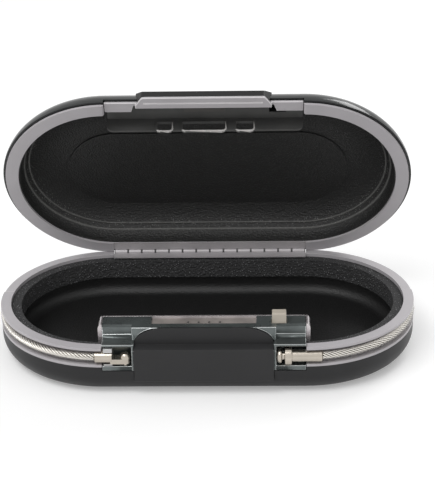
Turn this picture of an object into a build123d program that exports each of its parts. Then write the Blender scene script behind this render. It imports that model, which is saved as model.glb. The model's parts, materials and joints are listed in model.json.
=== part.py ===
"""A small portable safe: a stadium-shaped base and lid on a piano hinge, a lock housing at the front,
a security cable held round the base, and a fingerprint reader in the lid.

Frame: X to the right, Y from the front to the hinge, Z up. The origin is the centre of the underside.
Lid pieces are drawn closed and then turned open about the hinge. Sizes are in millimetres.
"""
from build123d import *
from math import asin, atan, degrees, sqrt
import os

# Case
CASE_W = 245.0          # overall width, end to end
CASE_D = 130.0          # overall depth, and the diameter of the round ends
BASE_H = 29.5           # underside to the rim plane of the base
LID_H = 26.5            # rim plane of the lid to its crown
RIM_GAP = 0.3           # air between the two rim planes when closed
OPEN_ANGLE = 66.3       # how far the lid stands open at rest, degrees
FIT = 0.2               # clearance between fixed pieces
BASE_WALL = 2.5
BASE_ROUND = 12.5       # outer rounding of the underside
LID_WALL = 2.0
LID_SIDE = 2.5          # upright part of the lid's side, above the rim plane
CROWN_W = 52.0          # the lid's top curves up over this width, as a quarter ellipse

# Base rim, a channel that opens outwards and carries the cable
RIM_W = 6.0
RIM_H = 11.8
RIM_FLANGE = 1.5
RIM_WEB = 1.0
REAR_RIM_INSET = 0.4    # the rear rim piece sits this far inside the front ones
RIM_SEAM_Y = 8.0

# Lid rim
LID_RIM_W = 9.2
LID_RIM_T = 1.5
LID_RIM_INSET = 1.5
LID_SEAM = 0.4          # shadow gap between lid rim and lid shell
LID_RIM_UPSTAND = 2.0
UPSTAND_T = 1.2

# Hinge
HINGE_INSET = 2.0       # axis inboard of the rear edge
HINGE_LEN = 120.0
KNUCKLES = 14
KNUCKLE_R = 1.7
HINGE_PIN_R = 0.8
PIN_PLAY = 0.05
KNUCKLE_GAP = 0.3
LEAF_T = 0.7
LEAF_W = 8.0
LEAF_RIVETS = 6
LEAF_RIVET_R = 1.1
SWING_RELIEF = 2.7      # height cut from the lid's rear lower edge so that it can swing down
RELIEF_HALF = 86.0      # half length of that cut

# Cable and its ends
CABLE_D = 5.4
CABLE_INSET = 2.2       # cable centre inboard of the outer edge
CABLE_DROP = 6.0        # cable centre below the base rim plane
FERRULE_D = 7.0
ANCHOR_MOUTH = 61.4     # where the cable enters the fixed ferrule, left of centre
ANCHOR_BARREL = 9.6
TANG_LEN = 10.4
TANG_T = 3.0
TANG_W = 6.0
RIVET_D = 6.4
RIVET_SHANK_R = 1.2
CLIP_W = 5.0
CLIP_T = 0.8
CLIP_FOLD = 2.6         # the clip's upper leg is folded thick
PLUG_MOUTH = 66.5       # where the cable enters the plug, right of centre
PLUG_BARREL = 17.0
COLLAR_D = 10.6
COLLAR_T = 4.0
NECK_D = 4.8
NECK_LEN = 1.8
HEAD_D = 8.4
HEAD_LEN = 2.6

# Lock housing
HOUSING_HALF = 57.5
HOUSING_BACK = 20.4     # rear edge of the housing, from the front edge of the case
HOUSING_TOP = 10.0      # above the base rim plane
HOUSING_WALL = 1.6
HOUSING_ROOF = 2.0
LEDGE_TOP = 2.2
LEDGE_DEPTH = 9.4
LEDGE_STEP = 0.6        # small step at the foot of the riser
LEDGE_STEP_TOP = 4.7
TOP_EDGE = 1.2          # rounding of the housing's front top edge
CHEEK_W = 2.4           # the rear cover's returns round the housing's ends
CHEEK_ROUND = 3.0
PLATE_INSET = 0.4       # front plate inboard of the front edge
PLATE_DROP = 14.2       # lower edge of the front plate below the rim plane
POCKET_DEPTH = 7.8
POCKET_LOW = 11.3
POCKET_HIGH = 0.9
WEB_T = 1.2
MECH_FLOOR = 5.5        # underside of the housing's end walls
TRAY_HALF = 29.5        # half width of the shallow tray in the housing's top
TRAY_DEPTH = 0.8
REAR_COVER_T = 1.2

# Screws of the rear cover, and the posts they go into
SCREW_D = 2.4
SCREW_LEN = 5.5
SCREW_HEAD_D = 4.4
SCREW_HEAD_T = 0.5
CROSS_W = 0.5
BOSS_W = 4.8
BOSS_LEN = 8.0
BOSS_BORE = 6.0
SCREW_EDGE = 5.0        # screw centres from the housing's ends, floor and rim plane

# Front cover
COVER_HALF = 39.35
COVER_LOW = 8.6
COVER_TOP = 10.2        # above the base rim plane
COVER_PROUD = 1.2
COVER_STEP = 4.8        # upper face inboard of the front edge
COVER_T = 1.45
COVER_CREASE = -0.2
COVER_SHELF = 0.1
ARCH_W = 17.5
ARCH_H = 10.0
BEZEL = 0.8
BEZEL_SET_BACK = 0.8

# Bolts and drive
BOLT_CENTRES = (-23.5, -0.5, 23.5)
BOLT_WIDTHS = (6.6, 23.0, 8.0)
BOLT_H = 3.6
BOLT_LOW = 3.2          # underside of the bolts above the base rim plane
BOLT_TRAVEL = 4.0
BAR_T = 3.0
BAR_OVERHANG = 2.5      # bar beyond the outer bolts
SLIDE_GAP = 0.4
YOKE_W = 8.0
COIL_W = 17.0
COIL_H = 13.0
COIL_L = 8.5
COIL_Z = -9.6           # centre of the coil from the base rim plane
PLUNGER_D = 5.0

# Cable release
BUTTON_W = 8.0
BUTTON_D = 6.0
BUTTON_H = 5.8
BUTTON_X = 42.5
BUTTON_FRONT = 11.5     # front face of the button from the front edge
LATCH_T = 1.2
FLANGE_T = 0.8
SPRING_LEN = 10.0
PRESS = 5.4
SPRING_R = 2.0
SPRING_WIRE = 0.5
SPRING_TURNS = 7

# Electronics
BOARD_W = 40.0
BOARD_D = 13.0
BOARD_T = 1.2
BOARD_X = -28.0
BOARD_Z = 7.4
CELL_W = 36.0
CELL_D = 12.0
CELL_T = 6.0
CELL_X = 29.0
CELL_PAD_T = 2.6
PORT_W = 9.0
PORT_D = 3.2
PORT_H = 6.5
PORT_WALL = 0.4
PINS = 4
PIN_PITCH = 6.0
PIN_R = 0.6
PIN_Y = 14.0            # contact row from the front edge

# Lid front
RECESS = 2.4            # middle zone of the lid rim above the rim plane
BULGE_HALF = 35.2
BULGE_SLOPE = 4.0
BULGE_OUT = 5.9         # outer edge of the bulge beyond the side flange
BULGE_IN = 5.0          # inner edge of the bulge beyond the side flange
BULGE_SLOPE_IN = 1.5
BULGE_ROUND = 2.4
BULGE_JOIN = 1.2        # wall that joins the two levels of the flange
FLANGE_IN = 8.6         # inner edge of the side flange from the front edge
VISOR_H = 5.8           # front face of the visor above the rim plane
VISOR_RISE = 0.77       # slope of the visor's top
VISOR_T = 1.6
VISOR_ROOT = 5.0        # where the visor runs into the lid, behind the cover's upper face
STRIKE_FRONT = 23.4     # strike plate's front face from the front edge
STRIKE_T = 1.2
STRIKE_LOW = 2.0
ROOF_Z = 12.2
ROOF_FRONT = 9.6        # front edge of the roof, where the lid is deep enough
SLOT_PLAY = 1.0
STRIKE_CORNER = 4.0
LIP_W = 0.9             # raised lip round each slot
LIP_H = 0.7
SLOT_CORNER = 1.8

# Liners
RING_W = 6.0
RING_DROP = 2.0
RING_H = 11.0
TRAY_WALL = 3.0
TRAY_FLOOR = 2.0
LINER_ROUND = 9.0
LID_LINER_EDGE = 10.0
LID_CEILING = 20.0
CEILING_SIDE = 4.0
CEILING_CROWN = 26.0
PAD_W = 170.0
PAD_D = 61.0
PAD_Y = 8.0
PAD_T = 1.2

# Fingerprint reader
READER_Y = 40.0         # reader centre from the front edge
BEZEL_D = 25.0
BEZEL_PROUD = 0.8
SENSOR_D = 17.0
READER_BOARD_D = 23.0
LED_D = 2.4
LED_X = 10.2

FRONT = -CASE_D / 2
REAR = CASE_D / 2
LID_Z = BASE_H + RIM_GAP
HINGE_Y = REAR - HINGE_INSET
HINGE_Z = BASE_H + RIM_GAP / 2
SHELL_TOP = BASE_H - RIM_H
CABLE_Z = BASE_H - CABLE_DROP
CABLE_Y = FRONT + CABLE_INSET
HOUSING_REAR = FRONT + HOUSING_BACK
BAR_BACK = HOUSING_REAR - BOLT_TRAVEL - FIT


def box(x0, x1, y0, y1, z0, z1):
    """A block between two corners."""
    return Pos((x0 + x1) / 2, (y0 + y1) / 2, (z0 + z1) / 2) * Box(x1 - x0, y1 - y0, z1 - z0)


def slab(inset, z0, z1):
    """The stadium plan of the case, drawn in by inset, from z0 to z1."""
    plan = SlotOverall(CASE_W - 2 * inset, CASE_D - 2 * inset)
    return Pos(0, 0, z0) * extrude(plan, z1 - z0)


def ring(outer, inner, z0, z1):
    """A stadium ring between two insets."""
    return slab(outer, z0, z1) - slab(inner, z0, z1)


def dome(inset, z0, side_top, width, rise):
    """The case's plan drawn in by inset, upright to side_top, then crowned by a quarter ellipse."""
    radius = CASE_D / 2 - inset
    reach = CASE_W / 2 - CASE_D / 2
    top = side_top + rise
    arc = EllipticalCenterArc((radius - width, side_top), width, rise, start_angle=0, arc_size=90)
    rest = Polyline((radius - width, top), (0, top), (0, z0), (radius, z0), (radius, side_top))
    half = make_face(arc + rest)
    middle = Plane.YZ * half
    middle = extrude(middle, reach, both=True)
    solid = middle + mirror(middle, Plane.XZ)
    end = revolve(Plane.XZ * half, Axis.Z, 180)
    for turn, x in ((0, reach), (180, -reach)):
        solid += Pos(x, 0, 0) * Rot(0, 0, turn - 90) * end
    return solid


def side_prism(points, x0, x1):
    """A side outline of (Y, Z) points, from x0 to x1."""
    face = Plane.YZ * make_face(Polyline(*points, close=True))
    return Pos(x0, 0, 0) * extrude(face, x1 - x0)


def front_prism(face, y0, y1):
    """A front outline drawn in X and Z, from y0 to y1."""
    return Pos(0, y1, 0) * extrude(Plane.XZ * face, y1 - y0)


def rod_x(radius, x0, x1, y, z):
    """A round bar along X."""
    return Pos((x0 + x1) / 2, y, z) * Rot(0, 90, 0) * Cylinder(radius, x1 - x0)


def rod_z(radius, x, y, z0, z1):
    """A round bar along Z."""
    return Pos(x, y, (z0 + z1) / 2) * Cylinder(radius, z1 - z0)


def opened(shape):
    """Turns a lid piece from closed to its rest position."""
    return shape.rotate(Axis((0, HINGE_Y, HINGE_Z), (-1, 0, 0)), OPEN_ANGLE)


def arch(half, low, top, width, height):
    """The front cover's outline: straight sides and elliptical upper corners."""
    left = EllipticalCenterArc((width - half, top - height), width, height, start_angle=90, arc_size=90)
    right = EllipticalCenterArc((half - width, top - height), width, height, start_angle=0, arc_size=90)
    crown = Line((width - half, top), (half - width, top))
    rest = Polyline((half, top - height), (half, low), (-half, low), (-half, top - height))
    return make_face(left + crown + right + rest)


# Base
def housing_gap(margin, low):
    """The space that the lock housing takes out of the base."""
    back = HOUSING_REAR + REAR_COVER_T + margin
    gap = box(-HOUSING_HALF - margin, HOUSING_HALF + margin, FRONT - 10, back, low, BASE_H + 30)
    half = cheek_out() + margin
    return gap + box(-half, half, cheek_front() - margin, back, BASE_WALL + FIT, BASE_H + 30)


def cheek_out():
    return HOUSING_HALF + FIT + CHEEK_W


def cheek_front():
    return FRONT + LEDGE_DEPTH + TOP_EDGE


def base_shell():
    outer = slab(0, 0, SHELL_TOP)
    outer = fillet(outer.edges().group_by(Axis.Z)[0], BASE_ROUND)
    inner = slab(BASE_WALL, BASE_WALL, SHELL_TOP + 5)
    inner = fillet(inner.edges().group_by(Axis.Z)[0], BASE_ROUND - BASE_WALL)
    shell = outer - inner
    shell -= box(-HOUSING_HALF - FIT, HOUSING_HALF + FIT, FRONT - 10, HOUSING_REAR + REAR_COVER_T + FIT,
                 BASE_H - PLATE_DROP - FIT, BASE_H)
    shell -= cover_space(FIT)
    port = box(BOARD_X - PORT_W / 2 - FIT, BOARD_X + PORT_W / 2 + FIT,
               port_y() - PORT_D / 2 - FIT, port_y() + PORT_D / 2 + FIT, -1, BASE_WALL + 1)
    return shell - port


def rim_channel(inset):
    low = BASE_H - RIM_H
    web = ring(RIM_W - RIM_WEB, RIM_W, low, BASE_H)
    top = ring(inset, RIM_W, BASE_H - RIM_FLANGE, BASE_H)
    bottom = ring(inset, RIM_W, low, low + RIM_FLANGE)
    return web + top + bottom


def hinge_space():
    """Room for the barrel in both rims."""
    half = HINGE_LEN / 2 + 2 * FIT
    return box(-half, half, HINGE_Y - KNUCKLE_R - FIT, REAR + 5,
               HINGE_Z - KNUCKLE_R - FIT, HINGE_Z + KNUCKLE_R + FIT)


def leaf_recess(z0, z1):
    half = HINGE_LEN / 2 + FIT
    return box(-half, half, HINGE_Y - LEAF_W - FIT, REAR + 5, z0, z1)


def base_rim_rear():
    far = 2 * CASE_W
    rim = rim_channel(REAR_RIM_INSET) & box(-far, far, RIM_SEAM_Y, far, 0, BASE_H + 1)
    rim -= hinge_space()
    return rim - leaf_recess(BASE_H - LEAF_T, BASE_H + 5)


def base_rim_front(side):
    far = 2 * CASE_W
    start = HOUSING_HALF + FIT
    x0, x1 = sorted((side * start, side * far))
    rim = rim_channel(0) & box(x0, x1, -far, RIM_SEAM_Y - FIT, 0, BASE_H + 1)
    return rim - rod_x(FERRULE_D / 2 + FIT, -PLUG_MOUTH - 1, PLUG_MOUTH + 1, CABLE_Y, CABLE_Z)


def base_liner_ring():
    top = BASE_H - RING_DROP
    foam = ring(RIM_W + FIT, RIM_W + RING_W, top - RING_H, top)
    return foam - housing_gap(FIT, 0)


def base_liner():
    top = BASE_H - RING_DROP - RING_H - FIT
    outer = slab(RIM_W + FIT, BASE_WALL + FIT, top)
    outer = fillet(outer.edges().group_by(Axis.Z)[0], LINER_ROUND)
    inner = slab(RIM_W + FIT + TRAY_WALL, BASE_WALL + FIT + TRAY_FLOOR, top + 5)
    inner = fillet(inner.edges().group_by(Axis.Z)[0], LINER_ROUND - TRAY_WALL)
    return outer - inner - housing_gap(FIT, 0)


# Front cover
def cover_space(margin):
    """All that lies in front of the cover's back face, for cutting what is behind it."""
    back = FRONT - COVER_PROUD + COVER_T + margin
    step = FRONT + COVER_STEP + COVER_T + margin
    crease = BASE_H + COVER_CREASE - COVER_T - margin
    shelf = BASE_H + COVER_SHELF - COVER_T - margin
    far = FRONT - 10
    high = BASE_H + COVER_TOP + 10
    low = COVER_LOW - margin
    side = side_prism([(far, low), (back, low), (back, crease), (step, shelf), (step, high), (far, high)],
                      -HOUSING_HALF, HOUSING_HALF)
    top = BASE_H + COVER_TOP + margin
    outline = arch(COVER_HALF + margin, low, top, ARCH_W, ARCH_H)
    return side & front_prism(outline, far, step + 1)


def front_cover():
    face = FRONT - COVER_PROUD
    step = FRONT + COVER_STEP
    crease = BASE_H + COVER_CREASE
    shelf = BASE_H + COVER_SHELF
    top = BASE_H + COVER_TOP
    outline = [(face, COVER_LOW), (face, crease), (step, shelf), (step, top),
               (step + COVER_T, top), (step + COVER_T, shelf - COVER_T),
               (face + COVER_T, crease - COVER_T), (face + COVER_T, COVER_LOW)]
    body = side_prism(outline, -COVER_HALF, COVER_HALF)
    body &= front_prism(arch(COVER_HALF, COVER_LOW, top, ARCH_W, ARCH_H), face - 1, step + COVER_T + 1)
    foot = body.edges().filter_by(Axis.X).group_by(Axis.Z)[0].sort_by(Axis.Y)[0]
    return fillet(foot, COVER_T * 0.8)


# Lock housing
def lock_housing():
    plate = FRONT + PLATE_INSET
    low = BASE_H - PLATE_DROP
    ledge = BASE_H + LEDGE_TOP
    riser = FRONT + LEDGE_DEPTH
    top = BASE_H + HOUSING_TOP
    wall = HOUSING_WALL
    toe = FRONT + POCKET_DEPTH + WEB_T
    step_top = BASE_H + LEDGE_STEP_TOP
    skin = side_prism([(plate, low), (plate, ledge), (riser - LEDGE_STEP, ledge), (riser - LEDGE_STEP, step_top),
                       (riser, step_top), (riser, top), (HOUSING_REAR, top),
                       (HOUSING_REAR, MECH_FLOOR), (toe + 2, MECH_FLOOR), (toe, low)],
                      -HOUSING_HALF, HOUSING_HALF)
    skin = fillet(skin.edges().filter_by(Axis.X).group_by(Axis.Z)[-1].sort_by(Axis.Y)[0], TOP_EDGE)
    hollow = side_prism([(plate + wall, low - 20), (plate + wall, ledge - wall), (riser + wall, ledge - wall),
                         (riser + wall, top - HOUSING_ROOF), (HOUSING_REAR + 5, top - HOUSING_ROOF),
                         (HOUSING_REAR + 5, low - 20)],
                        -HOUSING_HALF + wall, HOUSING_HALF - wall)
    housing = skin - hollow
    web_y = FRONT + POCKET_DEPTH
    for side in (-1, 1):
        x0, x1 = sorted((side * (COVER_HALF + FIT + WEB_T), side * (HOUSING_HALF + 1)))
        xi0, xi1 = sorted((side * (COVER_HALF + FIT), side * HOUSING_HALF))
        housing += box(xi0, xi1, plate + wall, web_y + WEB_T, low, ledge - wall)
        housing -= box(x0, x1, FRONT - 1, web_y, BASE_H - POCKET_LOW, BASE_H + POCKET_HIGH)
    bezel = arch(COVER_HALF + BEZEL, low, BASE_H + COVER_TOP + BEZEL, ARCH_W + BEZEL, ARCH_H + BEZEL)
    boss = front_prism(bezel, FRONT + COVER_STEP + BEZEL_SET_BACK, riser + wall)
    boss &= box(-CASE_W, CASE_W, FRONT, riser + wall, ledge - 1, BASE_H + COVER_TOP)
    housing += boss
    back = FRONT - COVER_PROUD + COVER_T
    step = FRONT + COVER_STEP + COVER_T
    crease = BASE_H + COVER_CREASE - COVER_T
    shelf = BASE_H + COVER_SHELF - COVER_T
    housing += side_prism([(back, low), (back, crease), (step, shelf), (step, top), (riser + wall, top),
                           (riser + wall, top - HOUSING_ROOF), (step + 2 * WEB_T, top - HOUSING_ROOF),
                           (step + 2 * WEB_T, shelf - WEB_T), (back + 2 * WEB_T, crease - WEB_T),
                           (back + 2 * WEB_T, low)],
                          -COVER_HALF - FIT - WEB_T, COVER_HALF + FIT + WEB_T)
    housing -= cover_space(FIT)
    housing -= box(-TRAY_HALF, TRAY_HALF, FRONT + PIN_Y - 2.5, HOUSING_REAR + 1, top - TRAY_DEPTH, top + 5)
    for x in pin_places():
        housing -= rod_z(PIN_R + FIT / 2, x, FRONT + PIN_Y, top - 5, top + 5)
    gap = FIT
    bx = BUTTON_X
    by = button_front()
    housing -= box(bx - BUTTON_W / 2 - gap, bx + BUTTON_W / 2 + gap, by - gap, by + BUTTON_D + gap,
                   top - HOUSING_ROOF - 1, top + 1)
    housing -= latch_space()
    shelf_z = spring_seat()
    housing += box(bx - SPRING_R - 2, latch_x() - LATCH_T / 2 - SLIDE_GAP, web_y, by + BUTTON_D,
                   shelf_z - WEB_T, shelf_z)
    return housing


def housing_rear_cover():
    """A plate across the housing's open back, returned forwards round both its ends."""
    top = BASE_H + HOUSING_TOP
    out = cheek_out()
    cover = box(-out, out, cheek_front(), HOUSING_REAR + REAR_COVER_T, BASE_H - PLATE_DROP, top)
    cover = fillet(cover.edges().filter_by(Axis.Y).group_by(Axis.Z)[-1], CHEEK_ROUND)
    half = HOUSING_HALF + FIT
    cover -= box(-half, half, FRONT, HOUSING_REAR, 0, top + 1)
    cover += box(-HOUSING_HALF, HOUSING_HALF, HOUSING_REAR, HOUSING_REAR + REAR_COVER_T, MECH_FLOOR, BASE_H)
    for x, width in zip(BOLT_CENTRES, BOLT_WIDTHS):
        cover -= box(x - width / 2 - FIT, x + width / 2 + FIT, HOUSING_REAR - 1, HOUSING_REAR + 5,
                     BASE_H + BOLT_LOW - FIT, BASE_H + BOLT_LOW + BOLT_H + FIT)
    for x, z in screw_places():
        cover -= front_prism(Pos(x, z) * Circle(SCREW_D / 2 + FIT), HOUSING_REAR - 1, HOUSING_REAR + 5)
    return cover


def screw_places():
    """The rear cover's four corners."""
    reach = HOUSING_HALF - SCREW_EDGE
    return [(s * reach, z) for s in (-1, 1) for z in (MECH_FLOOR + SCREW_EDGE, BASE_H + SCREW_EDGE)]


def screw_bosses():
    """Threaded posts inside the housing that take the rear cover's screws."""
    posts = []
    for x, z in screw_places():
        side = 1 if x > 0 else -1
        x0, x1 = sorted((x - side * BOSS_W / 2, side * (HOUSING_HALF - HOUSING_WALL)))
        post = box(x0, x1, HOUSING_REAR - BOSS_LEN, HOUSING_REAR, z - BOSS_W / 2, z + BOSS_W / 2)
        bore = front_prism(Pos(x, z) * Circle(SCREW_D / 2), HOUSING_REAR - BOSS_BORE, HOUSING_REAR + 1)
        posts.append(post - bore)
    return posts


def cover_screws():
    screws = []
    head_y = HOUSING_REAR + REAR_COVER_T
    for x, z in screw_places():
        screw = front_prism(Pos(x, z) * Circle(SCREW_D / 2), HOUSING_REAR - SCREW_LEN, head_y)
        head = front_prism(Pos(x, z) * Circle(SCREW_HEAD_D / 2), head_y, head_y + SCREW_HEAD_T)
        for turn in (0, 90):
            arm = Rot(0, 0, turn) * Rectangle(SCREW_HEAD_D / 2, CROSS_W)
            head -= front_prism(Pos(x, z) * arm, head_y + SCREW_HEAD_T / 3, head_y + 2)
        screws.append(screw + head)
    return screws


# Bolt bar and its drive
def bolt_bar():
    low = BASE_H + BOLT_LOW
    reach = BOLT_CENTRES[-1] + BOLT_WIDTHS[-1] / 2 + BAR_OVERHANG
    bar = box(-reach, reach, BAR_BACK - BAR_T, BAR_BACK, low, low + BOLT_H)
    for x, width in zip(BOLT_CENTRES, BOLT_WIDTHS):
        bolt = box(x - width / 2, x + width / 2, BAR_BACK, HOUSING_REAR + REAR_COVER_T - FIT, low, low + BOLT_H)
        tip = bolt.edges().filter_by(Axis.X).group_by(Axis.Y)[-1].sort_by(Axis.Z)[0]
        bar += chamfer(tip, BOLT_H / 3)
    yoke = box(-YOKE_W / 2, YOKE_W / 2, BAR_BACK - BAR_T, BAR_BACK, BASE_H + COIL_Z - YOKE_W / 2, low)
    return bar + yoke


def coil_back():
    return BAR_BACK - BAR_T - FIT


def solenoid_coil():
    z = BASE_H + COIL_Z
    back = coil_back()
    coil = box(-COIL_W / 2 + 1, COIL_W / 2 - 1, back - COIL_L + 1, back - 1, z - COIL_H / 2, z + COIL_H / 2)
    coil = fillet(coil.edges().filter_by(Axis.Y), 3)
    return coil - plunger_hole()


def plunger_hole():
    return front_prism(Pos(0, BASE_H + COIL_Z) * Circle(PLUNGER_D / 2 + FIT), coil_back() - COIL_L + 1.2,
                       coil_back() + 1)


def solenoid_frame():
    z = BASE_H + COIL_Z
    back = coil_back()
    frame = box(-COIL_W / 2, COIL_W / 2, back - COIL_L, back, z - COIL_H / 2, z + COIL_H / 2)
    frame -= box(-COIL_W / 2 + 1, COIL_W / 2 - 1, back - COIL_L + 1, back - 1, z - COIL_H, z + COIL_H)
    return frame - plunger_hole()


def solenoid_plunger():
    z = BASE_H + COIL_Z
    return front_prism(Pos(0, z) * Circle(PLUNGER_D / 2), coil_back() - COIL_L + 1.5, BAR_BACK - BAR_T)


# Cable, its ends and its release
def cable():
    radius = CASE_D / 2 - CABLE_INSET
    half = CASE_W / 2 - CASE_D / 2
    right = degrees(asin((PLUG_MOUTH - half) / radius))
    left = degrees(asin((ANCHOR_MOUTH - half) / radius))
    path = CenterArc((half, 0, CABLE_Z), radius, right - 90, 180 - right)
    path += Line((half, radius, CABLE_Z), (-half, radius, CABLE_Z))
    path += CenterArc((-half, 0, CABLE_Z), radius, 90, 180 - left)
    start = Plane(path.edges()[0] @ 0, z_dir=path.edges()[0] % 0)
    tube = sweep(start * Circle(CABLE_D / 2), path=path)
    middle = box(-ANCHOR_MOUTH, PLUG_MOUTH, FRONT - 10, FRONT + 20, 0, BASE_H)
    return tube - middle


def anchor_ferrule():
    """The crimped fixed end: a barrel, and a flat tang with an eye, level with the barrel's lower half."""
    end = -ANCHOR_MOUTH + ANCHOR_BARREL
    barrel = rod_x(FERRULE_D / 2, -ANCHOR_MOUTH, end, CABLE_Y, CABLE_Z)
    tang = box(end - 1, end + TANG_LEN, CABLE_Y - TANG_W / 2, CABLE_Y + TANG_W / 2, tang_low(), tang_low() + TANG_T)
    tang = fillet(tang.edges().filter_by(Axis.Z).group_by(Axis.X)[-1], TANG_W / 2 - 0.1)
    eye = rod_z(RIVET_SHANK_R + FIT / 2, rivet_x(), CABLE_Y, 0, BASE_H)
    return barrel + tang - eye


def tang_low():
    return CABLE_Z - FERRULE_D / 2 + FIT / 2


def rivet_x():
    return -ANCHOR_MOUTH + ANCHOR_BARREL + TANG_LEN - TANG_W / 2


def anchor_rivet():
    """The round-headed rivet that holds the tang's eye down to the floor of the housing's pocket."""
    seat = tang_low() + TANG_T
    shank = rod_z(RIVET_SHANK_R, rivet_x(), CABLE_Y, BASE_H - POCKET_LOW, seat)
    ball = Pos(rivet_x(), CABLE_Y, seat) * Sphere(RIVET_D / 2)
    return shank + (ball & box(-CASE_W, 0, FRONT - 20, FRONT + 20, seat, BASE_H))


def anchor_clip():
    """A folded spring clip round the fixed ferrule."""
    x0 = -HOUSING_HALF + 1
    x1 = x0 + CLIP_W
    web = FRONT + POCKET_DEPTH
    half = FERRULE_D / 2 + FIT / 2
    clip = box(x0, x1, web - CLIP_T, web, CABLE_Z - half - CLIP_T, CABLE_Z + half + CLIP_FOLD)
    clip += box(x0, x1, FRONT - 3 * FIT, web, CABLE_Z + half, CABLE_Z + half + CLIP_FOLD)
    return clip + box(x0, x1, FRONT - 3 * FIT, web, CABLE_Z - half - CLIP_T, CABLE_Z - half)


def cable_plug():
    """The removable end: barrel, collar, neck and head, turned from one bar."""
    x = PLUG_MOUTH - PLUG_BARREL
    plug = rod_x(FERRULE_D / 2, x, PLUG_MOUTH, CABLE_Y, CABLE_Z)
    collar = rod_x(COLLAR_D / 2, x - COLLAR_T, x, CABLE_Y, CABLE_Z)
    plug += fillet(collar.edges(), 0.6)
    plug += rod_x(NECK_D / 2, x - COLLAR_T - NECK_LEN, x - COLLAR_T, CABLE_Y, CABLE_Z)
    head = rod_x(HEAD_D / 2, x - COLLAR_T - NECK_LEN - HEAD_LEN, x - COLLAR_T - NECK_LEN, CABLE_Y, CABLE_Z)
    return plug + fillet(head.edges().group_by(Axis.X)[0], HEAD_LEN * 0.6)


def latch_x():
    """Middle of the plug's groove, where the latch plate drops in."""
    return PLUG_MOUTH - PLUG_BARREL - COLLAR_T - NECK_LEN / 2


def latch_blade():
    """A flat blade whose foot stands in the groove behind the neck and holds the head. Pressed, it drops clear."""
    x = latch_x()
    y0 = CABLE_Y + NECK_D / 2 + FIT
    y1 = button_front() + BUTTON_D
    low = CABLE_Z - HEAD_D / 2
    foot_top = low + PRESS - FIT
    post_top = flange_top() - FLANGE_T
    blade = box(x - LATCH_T / 2, x + LATCH_T / 2, y0, y1, low, foot_top)
    return blade + box(x - LATCH_T / 2, x + LATCH_T / 2, button_front(), y1, low, post_top)


def latch_space():
    """Room in the housing for the blade through its whole travel."""
    x = latch_x()
    half = LATCH_T / 2 + SLIDE_GAP
    y0 = CABLE_Y + NECK_D / 2 + FIT - SLIDE_GAP
    y1 = button_front() + BUTTON_D + SLIDE_GAP
    low = CABLE_Z - HEAD_D / 2 - PRESS - 1
    foot = box(x - half, x + half, y0, y1, low, CABLE_Z - HEAD_D / 2 + PRESS + SLIDE_GAP)
    return foot + box(x - half, x + half, button_front() - SLIDE_GAP, y1, low, flange_top())


def button_front():
    return FRONT + BUTTON_FRONT


def flange_top():
    """Upper face of the button's hidden flange, just under the housing's roof."""
    return BASE_H + HOUSING_TOP - HOUSING_ROOF - FIT


def spring_seat():
    return flange_top() - FLANGE_T - SPRING_LEN


def spring_place():
    return BUTTON_X - BUTTON_W / 2 + SPRING_R + 0.4, button_front() + BUTTON_D / 2


def cable_release_button():
    """The ivory button that stands above the housing, with its hidden flange."""
    y = button_front()
    top = BASE_H + HOUSING_TOP + BUTTON_H
    body = box(BUTTON_X - BUTTON_W / 2, BUTTON_X + BUTTON_W / 2, y, y + BUTTON_D, flange_top() - FLANGE_T, top)
    body = fillet(body.edges().group_by(Axis.Z)[-1], 0.8)
    flange = box(BUTTON_X - BUTTON_W / 2 - 1, BUTTON_X + BUTTON_W / 2 + 1, y - FIT, y + BUTTON_D + 1,
                 flange_top() - FLANGE_T, flange_top())
    return body + flange


def release_spring():
    """A compression spring between the housing's seat and the button's flange."""
    x, y = spring_place()
    pitch = (SPRING_LEN - SPRING_WIRE - 2 * FIT) / SPRING_TURNS
    path = Helix(pitch, pitch * SPRING_TURNS, SPRING_R)
    coil = sweep(Plane(path @ 0, z_dir=path % 0) * Circle(SPRING_WIRE / 2), path=path)
    return Pos(x, y, spring_seat() + SPRING_WIRE / 2 + FIT) * coil


# Electronics in the base
def port_y():
    return HOUSING_REAR - BOARD_D / 2


def control_board():
    y = port_y()
    board = box(BOARD_X - BOARD_W / 2, BOARD_X + BOARD_W / 2, y - BOARD_D / 2 + 1, y + BOARD_D / 2 - 1,
                BOARD_Z, BOARD_Z + BOARD_T)
    chips = ((-12, 7, 1.2), (0, 5, 1.0), (11, 6, 2.4))
    for dx, size, height in chips:
        board += box(BOARD_X + dx - size / 2, BOARD_X + dx + size / 2, y - size / 2, y + size / 2,
                     BOARD_Z + BOARD_T, BOARD_Z + BOARD_T + height)
    return board


def board_standoffs():
    reach = BOARD_W / 2 - 3
    return [rod_z(2, BOARD_X + s * reach, port_y(), BASE_WALL, BOARD_Z) for s in (-1, 1)]


def charge_port():
    y = port_y()
    top = BOARD_Z
    shell = box(BOARD_X - PORT_W / 2, BOARD_X + PORT_W / 2, y - PORT_D / 2, y + PORT_D / 2, top - PORT_H, top)
    shell = fillet(shell.edges().filter_by(Axis.Z), PORT_D / 2 - 0.1)
    mouth = box(BOARD_X - PORT_W / 2 + PORT_WALL, BOARD_X + PORT_W / 2 - PORT_WALL,
                y - PORT_D / 2 + PORT_WALL, y + PORT_D / 2 - PORT_WALL, top - PORT_H - 1, top - 1)
    shell -= fillet(mouth.edges().filter_by(Axis.Z), PORT_D / 2 - PORT_WALL - 0.1)
    tongue = box(BOARD_X - PORT_W / 2 + 1.2, BOARD_X + PORT_W / 2 - 1.2, y - 0.35, y + 0.35, top - PORT_H + 1, top)
    return shell + tongue


def battery_cell():
    y = port_y()
    cell = box(CELL_X - CELL_W / 2, CELL_X + CELL_W / 2, y - CELL_D / 2, y + CELL_D / 2,
               cell_z(), cell_z() + CELL_T)
    return fillet(cell.edges().filter_by(Axis.X), 1.5)


def cell_z():
    return BASE_WALL + CELL_PAD_T


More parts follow.
